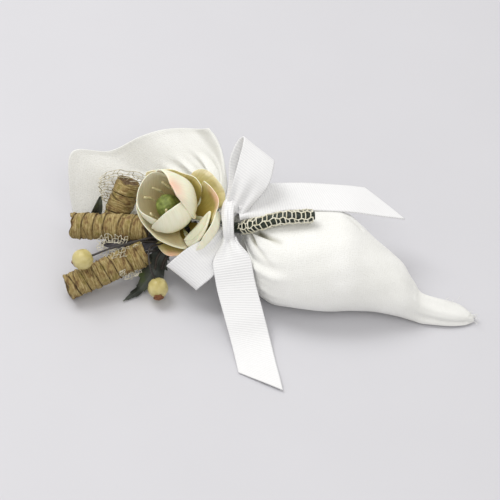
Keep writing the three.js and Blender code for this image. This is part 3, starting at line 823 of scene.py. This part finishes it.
def ladder(surface, across, along):
    """Strands of a net tube on surface(u, v): long wavy ones joined by rungs, staggered from row to row."""
    v = np.linspace(0, 1, 6 * along + 1)
    strands = []
    for i in range(across):
        sway = 0.11 * np.sin(math.pi * along * v + i * math.pi) + 0.1 * np.sin(5.3 * v + 2 * i)
        strands.append((i + sway) / across)
    paths = [surface(u, v) for u in strands]
    for i in range(across):
        first, second = strands[i], strands[(i + 1) % across] + (i + 1 == across)
        for j in range(along):
            place = np.clip((j + 0.25 + 0.5 * (i % 2)) / along + 0.006 * math.sin(7 * i + 3 * j), 0, 1)
            k = int(round(place * 6 * along))
            bow = 0.006 * np.sin(math.pi * np.linspace(0, 1, 7))
            paths.append(surface(np.linspace(first[k], second[k], 7), place + bow))
    return paths


def net_strip(path, side, half, curl, seed):
    """surface(u, v) of a strip of net along a path, its edges rolled in and its face crumpled."""
    fine = np.linspace(0, 1, 121)
    way = np.gradient(spline(path, fine), axis=0)

    def surface(u, v):
        across = unit(spline(side, v))
        along = np.stack([np.interp(v, fine, way[:, k]) for k in range(3)], -1)
        points = spline(path, v) + ((2 * u - 1) * half)[..., None] * across
        rise = curl * (np.abs(2 * u - 1) ** 2) + 0.7 * ripple(points, 9, seed, 2)
        return points + rise[..., None] * unit(np.cross(across, along))

    return surface


SLEEVE_START, SLEEVE_SPAN = 0.4, 0.585  # shares of the stem
SLEEVE_RADIUS = 2.75
# Rows of points that the upper net hangs on, from its top edge to its bottom edge.
UPPER_NET = [
    [[-41, 29.5, 10], [-46, 32.2, 12], [-52, 33.2, 13], [-58, 32.8, 14], [-63, 29.8, 15]],
    [[-42, 25, 4], [-47, 26, 4], [-53, 26, 4], [-59, 26.5, 8], [-63.6, 25.6, 15.5]],
    [[-43, 20, 1], [-48, 19, 0.5], [-54, 18, 0], [-60, 20, 4], [-61.5, 21, 15]],
]
# For each strip of net: piece, CAD node, half width, curl, seed, cells, strand, flat size, path, way it faces.
NET_STRIPS = [
    ("lower_net", "net_loop_lower", 2.3, 1.0, 98, (4, 26), 0.12, (10, 30), [
        [-45, 0.6, 25], [-50, -0.6, 26], [-55, -1.4, 26], [-59.5, -0.8, 25], [-61.6, 1.8, 24], [-60, 4, 23],
        [-55.5, 4.2, 23.4], [-51, 3.4, 25],
    ], [
        [0.1, 0.9, -0.4], [0.2, 0.9, -0.3], [0.3, 0.9, 0], [0.5, 0.7, 0.3], [0.8, -0.1, 0.6], [0.3, -0.8, 0.6],
        [0, -0.9, 0.4], [-0.3, -0.8, 0.4],
    ]),
    ("net_scrap", None, 1.8, 0.8, 99, (4, 9), 0.13, (10, 10), [
        [-45.5, -7.6, 24.2], [-48, -9.6, 25.4], [-51, -10.4, 25.6], [-52.5, -8.6, 27.6],
    ], [
        [0.4, -0.6, 0.4], [0.3, -0.8, 0.3], [-0.2, -0.9, 0.1], [-0.8, -0.3, 0.2],
    ]),
]


def make_nets(cream, grey):
    steps = 80
    first, second = circle_frames(spline(STEM, SLEEVE_START + SLEEVE_SPAN * np.linspace(0, 1, steps + 1)))

    def sleeve(u, v):
        index = np.clip((v * steps).astype(int), 0, steps)
        ring = on_circle(1, math.tau * u + 0.25 * np.sin(9 * v), first[index], second[index])
        path = spline(STEM, SLEEVE_START + SLEEVE_SPAN * v)
        return path + (SLEEVE_RADIUS + 0.15 * ripple(path + 3 * ring, 4, 96, 2))[:, None] * ring

    def patch(u, v):
        points = bezier(*(spline(row, u) for row in UPPER_NET), v[..., None])
        return points + 0.5 * ripple(points, 7, 97, 2)[..., None] * [0, 0.3, 1]

    make_net("sleeve_net", ladder(sleeve, 6, 17), 0.24, cream, "net_sleeve", (19, 40))
    # painted shade: the grey net is the cream net painted darker, for the net loops that lie in shade
    make_net("upper_net", cells(patch, 12, 10), 0.17, grey, "net_loop_upper", (24, 24))
    for name, node, half, curl, seed, count, strand, flat, path, side in NET_STRIPS:
        make_net(name, cells(net_strip(path, side, half, curl, seed), *count), strand, grey, node, flat)


BERRY_RADIUS = 4.3
BERRY_WIRE = 0.42
# For each berry: its middle, the way its dried tip points, its wire's path and its seed.
BERRIES = {
    "left": ([-68.9, -3.8, 31.8], [-0.7, -0.25, -0.67], [
        [-22.4, 8, 18.4], [-31, 5.6, 17.8], [-40, 5.2, 24.6], [-47, 3.6, 27.6], [-57, 0.8, 29.8],
    ], 71),
    "front": ([-38, -15.7, 25], [0.06, -0.9, 0.42], [
        [-20.8, 6.4, 20.8], [-31, 3, 20], [-40.8, 1.4, 25], [-41.4, -6, 28],
    ], 72),
}


def make_berry(name, skin, cap, wire):
    centre, out, path, seed = BERRIES[name]
    rows, sides = 60, 72
    out = unit(out)
    side = unit(np.cross(out, [0.3, 0.2, 1]))
    other = np.cross(out, side)
    polar = np.linspace(0.02, math.pi - 0.02, rows + 1)[:, None]
    angle = round_angles(sides)[None]
    way = np.cos(polar)[..., None] * out + on_circle(np.sin(polar), angle, side, other)
    dimple = 0.35 * bell(polar, 0.25)
    radius = BERRY_RADIUS + 0.08 * ripple(way * BERRY_RADIUS, 3.5, seed, 2) - dimple
    radius = radius + 0.07 * np.cos(angle * 2 + seed) * np.sin(polar)
    berry = tube(f"berry_{name}_skin", lean(centre + radius[..., None] * way), skin)
    declare(berry, "berry", f"berry_{name}")
    polar = np.linspace(0.02, 1, 16)[:, None]
    spread = 2.05 * np.sin(polar * math.pi / 2) * (1 + 0.14 * np.cos(5 * angle + seed) * polar)
    lift = BERRY_RADIUS + 0.25 + 0.8 * (1 - polar**2) - 0.35 * polar
    grid = centre + lift[..., None] * out + on_circle(spread, angle, side, other)
    under = centre + (grid - centre) * 0.93
    tip = tube(f"berry_{name}_tip", lean(np.concatenate([grid, under[::-1]])), cap)
    declare(tip, "berry_cap", f"berry_cap_{name}")
    inside = centre + unit(np.subtract(path[-1], centre)) * (BERRY_RADIUS - 0.1)
    line = spline([*path, inside], np.linspace(0, 1, 60))
    rings = rod_rings(line, BERRY_WIRE + 0.05 * ripple(line, 2, seed)[:, None], 12)
    declare(tube(f"berry_{name}_wire", lean(rings), wire), "wire", f"berry_wire_{name}")


# For each roll: its ends, its turns of bark, how far they slant, and its seed.
ROLLS = {
    "upper": ([-58.5, 8, 3.6], [-50.2, 28.6, 9.8], 3.2, -0.6, 81),
    "middle": ([-42.4, 9.2, 18.6], [-74, 10.2, 13], 6.2, 1.0, 82),
    "lower": ([-43.2, -1, 21.4], [-75.4, -15.6, 24.2], 7.2, -1.0, 83),
}
ROLL_OUTER, ROLL_INNER = 5.6, 4.4


def make_roll(place, material):
    """Strips of bark wrapped slantwise round a stick: each turn laps the one before it."""
    start, end, turns, twist, seed = ROLLS[place]
    start, end = np.array(start, float), np.array(end, float)
    length = np.linalg.norm(end - start)
    rows, sides = 200, 120
    t = np.linspace(0, 1, rows + 1)[:, None]
    angle = round_angles(sides)[None]
    points = np.stack(np.broadcast_arrays(5 * np.cos(angle), 5 * np.sin(angle), t * length), -1)
    uneven = 0.16 * np.sin(math.tau * t * 1.3 + seed) + 0.05 * np.sin(math.tau * t * 3.1 + 2 * seed)
    wobble = 0.025 * ripple(points, 11, seed)
    lap = (t * turns + twist * angle / math.tau + uneven + wobble) % 1
    seam = bell(np.minimum(lap, 1 - lap), 0.04)
    seam = seam * (0.45 + 0.55 * ramp(ripple(points, 13, seed + 6), -0.4, 0.5))
    cross = (t * turns * 0.62 - 0.8 * twist * angle / math.tau + 0.4 + wobble) % 1
    crossing = bell(np.minimum(cross, 1 - cross), 0.03)
    crossing = crossing * ramp(ripple(points, 12, seed + 5), -0.1, 0.4)
    rough = 0.13 * ripple(points * [0.5, 0.5, 2.2], 3, seed + 1, 3) + 0.14 * ripple(points, 8, seed + 2, 2)
    radius = ROLL_OUTER - 0.4 + 0.42 * (1 - lap) - 0.3 * seam - 0.16 * crossing + rough
    radius = np.maximum(radius, ROLL_INNER + 0.25)
    path = start + (end - start) * t
    ragged = 0.4 * ripple(points[0, :, :2], 9, seed + 4)[None] * (2 * t - 1) ** 15
    ragged = ragged[..., None] * unit(end - start)
    keep = [0, rows // 2, rows]  # rows of the hole through the roll, from the far end back
    inner = (rod_rings(path, ROLL_INNER - 0.1, sides) + ragged)[::-1][keep]
    rings = np.concatenate([rod_rings(path, radius, sides) + ragged, inner])
    uv = np.stack(np.broadcast_arrays(5.2 * angle, t * length), -1)
    uv = np.concatenate([uv, uv[::-1][keep]])
    # painted shade: the rows of the hole get 0.6, so the hole and the ends towards it are painted darker where
    # shade falls inside the roll; seams and crossings are the bark's own dark joints
    shade = np.concatenate([np.clip(seam + 0.7 * crossing, 0, 1), np.full((len(keep), sides), 0.6)])
    last = (len(rings) - 1) * sides
    faces = quads(len(rings) - 1, sides, wrap=True).tolist()
    faces += [[last + k, last + (k + 1) % sides, (k + 1) % sides, k] for k in range(sides)]
    vertices = lean(rings).reshape(-1, 3)
    wrap = make_object(f"bark_{place}", vertices, faces, [material], None, uv.reshape(-1, 2), shade)
    declare(wrap, "bark", f"bark_wrap_{place}")


# ---- flower

FLOWER_BASE = np.array([-28, 13, 21.0])
FLOWER_AXIS = unit([-0.502, 0.442, 0.743])
FLOWER_RIGHT = square_to(FLOWER_AXIS, [0.86, 0.2, 0.46])
FLOWER_UP = np.cross(FLOWER_AXIS, FLOWER_RIGHT)
PETAL_THICKNESS, PETAL_EDGE = 0.85, 0.35


def in_flower(radius, angle, height):
    """Leaning points from a radius and heading round the flower's axis and a height along it."""
    return FLOWER_BASE + on_circle(radius, angle, FLOWER_RIGHT, FLOWER_UP) + height[..., None] * FLOWER_AXIS


def make_petal(name, node, heading, root, belly, pink, outline, skins, seed, narrow=0.35, pale=0.0):
    """A petal between a root and an outline, both round the flower's axis.

    `outline` is a list of heading, radius and height, over the petal's tip; `root` and `belly` are a radius
    and a height, and the belly pulls the petal's middle out; `pink` is a patch's heading, width and strength.
    """
    u, v = grid_of(44, 96)
    toward, far, high = np.moveaxis(spline(outline, u), -1, 0)
    size = np.hypot(far - root[0], high - root[1])
    share = size / size.max()
    radius = bezier(root[0], root[0] + (belly[0] - root[0]) * share, far, v)
    height = bezier(root[1], root[1] + (belly[1] - root[1]) * share, high, v)
    turn = np.radians(heading + (toward - heading) * (narrow + (1 - narrow) * v**0.6))
    grid = in_flower(radius, turn, height)
    wave = 0.3 * ripple(grid, 10, seed, 1) * ramp(v, 0.7, 1)
    wave = wave + 0.18 * ripple(grid, 14, seed + 9, 1) * ramp(v, 0.1, 0.4)
    grid = grid + normals_of(grid) * (wave + 0.35 * ramp(v, 0.9, 1))[..., None]
    thickness = PETAL_THICKNESS + (PETAL_EDGE - PETAL_THICKNESS) * ramp(v, 0.9, 1)
    uv = np.stack([np.radians(toward) * 12 * (0.3 + 0.7 * v), 24 * v * share], -1)
    blush = np.zeros_like(v)
    if pink:
        middle, width, strength = pink
        blush = strength * bell(toward - middle, width) * ramp(v, 0.72, 0.99)
    reach = pale + (1 - pale) * np.clip(v * (0.6 + 0.4 * share), 0, 1)
    declare(sheet(name, lean(grid), thickness, skins, uv, reach, blush), "petal", node)


# For each petal: heading, root, belly, pink patch, outline.
CUP_PETALS = [
    (158, (3.4, 2.6), (15.5, 9), None, [
        (95, 8, 5), (75, 10.5, 12), (72, 10, 19), (90, 9.6, 22.5), (109, 9.3, 23), (145, 9.1, 22.6),
        (168, 8.7, 22), (195, 8.8, 21), (211, 8.8, 20), (232, 8.3, 17.5), (252, 8.4, 13.5), (266, 9.6, 8.5),
        (256, 8, 4.5),
    ]),
    (-70, (3.6, 2.4), (17.4, 8.3), None, [
        (-105, 8, 4.5), (-140, 11, 8), (-130, 10.2, 12), (-110, 9.2, 15), (-82, 8.8, 18), (-60, 9.4, 19.6),
        (-44, 10.5, 20), (-30, 11.2, 19.4), (-16, 11.6, 17), (-4, 12.4, 11), (-20, 9, 5.5),
    ]),
    (30, (4.4, 2.2), (19, 9.5), (2, 22, 1.0), [
        (0, 7.5, 5.5), (-28, 12.5, 8), (-31, 13.9, 12), (-27, 13.3, 17), (-21, 12.3, 21.5), (-15, 11.3, 24),
        (8, 8.6, 25.2), (40, 8.8, 25.6), (76, 9.8, 24), (95, 10.6, 21), (104, 11.4, 16), (92, 11.5, 9.5),
        (60, 8, 5),
    ]),
]
OUTER_PETALS = [
    (6, (3.8, 0), (15, -1), (4, 14, 0.9), [
        (-8, 9, -0.5), (-24, 15, 1.5), (-24, 19, 4), (-18, 20.6, 6.5), (-3, 21.7, 7.5), (12, 20.3, 9),
        (24, 18.4, 9.6), (33, 17.2, 9), (38, 15, 6), (30, 11, 2),
    ]),
    (48, (3.8, -1), (14, -3), None, [
        (30, 9, -1), (8, 16, -1.4), (8, 19.4, -0.8), (16, 20.4, -0.2), (30, 21.4, 1), (45, 22, 2.6),
        (58, 22, 3.8), (66, 20.6, 4.6), (72, 17.7, 4.6), (76, 13, 2.6), (62, 8, 0),
    ]),
    (85, (3.8, 0), (16, 3), None, [
        (60, 8, 0.5), (34, 12, 3), (30, 15, 7.5), (41, 15.4, 10), (58, 15, 12.2), (73, 14.2, 15.5),
        (90, 13.6, 18.4), (107, 13.6, 20), (117, 14.2, 19.6), (126, 14, 16), (128, 13, 9), (105, 8, 2),
    ]),
    (225, (3.8, 0.4), (16, 1.5), None, [
        (190, 7, 1), (168, 12.5, 9), (165, 12.6, 14), (175, 12, 17), (190, 12.2, 15), (205, 12.4, 12.2),
        (218, 12.6, 10.2), (235, 12.8, 8.2), (250, 13.2, 6.6), (268, 15, 4), (282, 16.8, 2), (284, 13, -1),
        (250, 7, -0.5),
    ]),
    (-102, (3.8, -1.4), (12, -4.5), (-100, 14, 0.9), [
        (-125, 7, -1.5), (-148, 12, -1), (-146, 14.4, 0.5), (-135, 15, 1.2), (-118, 16.4, 1.6),
        (-100, 17.6, 1.8), (-84, 18.6, 2), (-70, 19.6, 2.2), (-62, 19, 0.5), (-64, 14, -2), (-85, 7, -2),
    ]),
    (-42, (3.8, -1.4), (24, -4.5), None, [
        (-50, 9, -2.5), (-68, 16, -1.5), (-66, 19.5, 1), (-58, 20.8, 3.6), (-51, 21, 5), (-43, 21.3, 6.6),
        (-26, 21.6, 7.4), (-16, 20.6, 6), (-8, 19, 2.5), (-20, 11, -1.5),
    ]),
]
SPOON_PETAL = [
    (-75, 13, 2.5), (-72, 16, 1.5), (-58, 17.2, 2.4), (-44, 17.4, 3.4), (-28, 18, 5), (-16, 18.4, 6.4),
    (-13, 17.6, 6.6), (-18, 15.4, 5.6), (-30, 13, 4.4), (-50, 11.6, 3.4), (-67, 11.6, 3), (-76, 12.6, 2.8),
]
# Profiles of the turned parts, as radius and height.
PISTIL = [[0, 4.6], [3.2, 4.6], [4.8, 8], [4.9, 12], [3.4, 15.2], [0, 16.4]]
CALYX = [[0, -4.4], [1.7, -4.4], [2.6, -2.4], [2.7, 0], [2.9, 4.0], [0, 4.2]]
STAMEN_HEADINGS = (150, 112, 72, 24, -70, -130)


def make_turned(name, profile, material, ridges, depth, seed):
    rows, sides = 60, 64
    line = spline(profile, np.linspace(0, 1, rows + 1))
    angle = round_angles(sides)[None]
    radius = np.maximum(line[:, :1], 0.05) * (1 + depth * np.cos(ridges * angle + line[:, 1:] * 0.1))
    grid = in_flower(radius, angle, line[:, 1:] + 0 * angle)
    grid = grid + 0.12 * ripple(grid, 2.2, seed, 2)[..., None] * FLOWER_AXIS
    declare(tube(name, lean(grid), material), name, f"flower_{name}")


def make_flower(outside, inside, pale_inside, looks):
    for k, shape in enumerate(CUP_PETALS, 1):
        skins = [outside, pale_inside]
        make_petal(f"cup_petal_{k}", f"petal_inner_{k}", *shape, skins, 39 + k, narrow=0.72)
    for k, shape in enumerate(OUTER_PETALS, 1):
        skins = [outside, pale_inside if k == 4 else inside]
        make_petal(f"outer_petal_{k}", f"petal_outer_{k}", *shape, skins, 49 + k)
    spoon = (-46, (14.4, 1.8), (14.8, 2.0), None, SPOON_PETAL)
    make_petal("outer_petal_7", None, *spoon, [outside, outside], 57, narrow=0, pale=0.72)
    make_turned("pistil", PISTIL, looks["pistil"], 6, 0.03, 61)
    make_turned("calyx", CALYX, looks["calyx"], 5, 0.05, 62)
    draws = np.random.default_rng(7)
    steps = np.linspace(0, 1, 7)
    stalks, tips = [], []
    for heading in STAMEN_HEADINGS:
        angle = math.radians(heading + draws.uniform(-5, 5))
        tall, out = draws.uniform(14.5, 16), draws.uniform(0.9, 1.5)
        stalks.append(in_flower(5.6 + out * steps, angle, 5 + (tall - 5) * steps))
        tips.append(in_flower(5.4 + out + 0.6 * steps, angle + 0.25 * steps, tall - 1 + 4.2 * steps))
    declare(threads("stamens", stalks, 0.3, looks["stamen"], lean, taper=0.8), "stamen", "flower_stamens")
    declare(threads("anthers", tips, 0.66, looks["stamen"], lean, taper=0.8), "stamen")


# ---- leaves

LEAF_THICKNESS = 0.35
TOOTH_DEPTH = 0.3
# For each leaf: piece, CAD node, slot, look, half width, teeth a side, seed, the way its width lies, its middle
# line, and where it isn't a plain oval its widths along that line.
LEAVES = [
    ("toothed_leaf", "leaf_large", "leaf", "leaf_dark", 5.4, 7, 91, [0.8, -0.56, 0.12], [
        [-35.6, 1.4, 20], [-37.6, -3.6, 18.8], [-40.2, -8.6, 18], [-43.6, -13.6, 18.4], [-47, -17.4, 20],
        [-52.4, -21, 22.6],
    ], [[0.5], [0.85], [1], [0.95], [0.45], [0.34], [0]]),
    ("small_leaf", "leaf_small", "leaf", "leaf_dark", 2.4, 0, 92, [1, 0.1, 0], [
        [-65.6, 12, 3.4], [-64.2, 16, 6.5], [-62.4, 22.4, 9],
    ], None),
    ("grey_leaf", "leaf_grey", "leaf_underside", "leaf_underside", 4.4, 0, 93, [0.05, 1, 0.15], [
        [-36, 4, 9.6], [-48, 4, 10.4], [-62, 2.6, 10],
    ], None),
]


def make_leaf(name, node, slot, material, half, teeth, seed, side, path, widths):
    u, v = grid_of(150, 40)
    from_rib = np.abs(2 * u - 1)
    outline = np.sin(math.pi * (0.03 + 0.94 * v) ** 0.8) ** 0.8
    if widths:
        outline = np.maximum(spline(widths, v)[..., 0], 0.02)
    bite = TOOTH_DEPTH * (1 - teeth * v % 1) if teeth else 0
    span = (2 * u - 1) * half * outline * (1 - bite * from_rib**2)
    grid = spline(path, v) + span[..., None] * unit(side)
    slanted = np.abs(np.sin(math.pi * (teeth or 6) * (v - 0.25 * from_rib)))
    veins = 0.7 * bell(slanted, 0.16) * (from_rib < 0.92)
    veins = np.maximum(bell(from_rib, 0.05), veins)
    fold = 0.9 * from_rib**1.4 * outline
    grid = grid + normals_of(grid) * (fold + 0.5 * ripple(grid, 9, seed, 1) - 0.12 * veins)[..., None]
    uv = np.stack([half * (2 * u - 1), 30 * v], -1)
    declare(sheet(name, lean(grid), LEAF_THICKNESS, [material], uv, veins), slot, node)


# ---- scene

FLOOR_HALF = 3.0
FLOOR_TONES = (0.60, 0.597, 0.625), (0.61, 0.607, 0.635)
WORLD_COLOR, WORLD_STRENGTH = (1.0, 0.985, 0.965, 1), 0.70
# For each light: where it stands, in metres, its size and its power.
LIGHTS = {"key": ((-0.35, 0.30, 0.85), 0.5, 4.2), "fill": ((0.12, -0.6, 0.85), 0.6, 2.1)}
# For each mottled finish: dark, light, roughness, scale, and where it isn't the usual one, bump depth.
MOTTLED = {
    "floral_tape": ((0.006, 0.012, 0.007), (0.03, 0.045, 0.028), 0.55, 0.7),
    "dark_tape": ((0.014, 0.009, 0.006), (0.05, 0.036, 0.024), 0.6, 0.5),
    "berry_skin": ((0.46, 0.38, 0.13), (0.67, 0.585, 0.28), 0.38, 0.2, 0.06),
    "berry_tip": ((0.10, 0.03, 0.01), (0.30, 0.11, 0.035), 0.7, 0.8),
    "wire": ((0.012, 0.010, 0.009), (0.05, 0.04, 0.035), 0.45, 0.6),
    "pistil": ((0.10, 0.13, 0.02), (0.26, 0.32, 0.07), 0.6, 0.5),
    "stamen": ((0.52, 0.45, 0.22), (0.74, 0.68, 0.42), 0.7, 0.8),
    "calyx": ((0.04, 0.06, 0.015), (0.12, 0.16, 0.05), 0.6, 0.5),
    "sugar_shell": ((0.84, 0.82, 0.78), (0.90, 0.89, 0.86), 0.3, 0.2, 0.05),
}
LEAF_LOOKS = {
    "leaf_dark": ((0.012, 0.017, 0.010), (0.06, 0.068, 0.055), (0.075, 0.105, 0.03)),
    "leaf_underside": ((0.09, 0.085, 0.10), (0.20, 0.19, 0.23), (0.15, 0.15, 0.16)),
}
NET_LOOKS = {
    "net_cream": ((0.66, 0.62, 0.45), (0.84, 0.81, 0.66), (0.90, 0.88, 0.78)),
    # painted shade: the same cream net, darker, for the net loops that lie in shade
    "net_grey": ((0.40, 0.36, 0.25), (0.70, 0.66, 0.52), (0.86, 0.83, 0.72)),
}
KEPT_NODES = {"sugared_almond": "sugar_shell", "bark_stick": "stick_wood", "bark_wire": "wire"}


def make_stage():
    floor = Material("floor", FLOOR_TONES[0], 0.6)
    floor.color(floor.steps(floor.noise(0.02, 2), (0.3, 0.7), FLOOR_TONES))
    mesh = bpy.data.meshes.new("floor")
    corners = [(-1, -1), (1, -1), (1, 1), (-1, 1)]
    mesh.from_pydata([(x * FLOOR_HALF, y * FLOOR_HALF, 0) for x, y in corners], [], [(0, 1, 2, 3)])
    mesh.materials.append(floor.material)
    add_object("floor", mesh)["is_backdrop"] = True
    world = bpy.data.worlds.new("studio")
    world.use_nodes = True
    background = world.node_tree.nodes["Background"]
    background.inputs["Color"].default_value = WORLD_COLOR
    background.inputs["Strength"].default_value = WORLD_STRENGTH
    bpy.context.scene.world = world
    bpy.context.scene.view_settings.view_transform = "Standard"
    for name, (place, size, power) in LIGHTS.items():
        data = bpy.data.lights.new(name, "AREA")
        data.size = size
        data.energy = power
        light = add_object(name, data)
        light.location = place
        light.rotation_euler = Vector(place).to_track_quat("Z", "Y").to_euler()


def main():
    make_camera()
    make_stage()
    looks = {name: mottled(name, *look) for name, look in MOTTLED.items()}
    looks |= {name: leaf_cloth(name, *tones) for name, tones in LEAF_LOOKS.items()}
    looks |= {name: net_thread(name, *tones) for name, tones in NET_LOOKS.items()}
    looks["stick_wood"] = wood()
    cloth, ribbon, bark_skin = muslin(), grosgrain(), bark()
    make_bag(cloth)
    make_mouth(cloth)
    make_fray(cloth)
    make_bow(ribbon)
    make_knot(ribbon)
    make_band(ribbon)
    make_stem(looks["floral_tape"])
    make_pick_stems(looks["dark_tape"])
    make_nets(looks["net_cream"], looks["net_grey"])
    for name in BERRIES:
        make_berry(name, looks["berry_skin"], looks["berry_tip"], looks["wire"])
    for place in ROLLS:
        make_roll(place, bark_skin)
    make_flower(*(petal(name, *look) for name, look in PETAL_SKINS.items()), looks)
    for name, node, slot, look, *shape in LEAVES:
        make_leaf(name, node, slot, looks[look], *shape)
    for name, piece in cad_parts.items():
        for start, look in KEPT_NODES.items():
            if name.startswith(start):
                piece.data.materials.clear()
                piece.data.materials.append(looks[look])


main()
boxes = {"cad": CAD_BOX, "visual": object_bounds()}
{k: [[float(x) for x in corner] for corner in box] for k, box in boxes.items()}
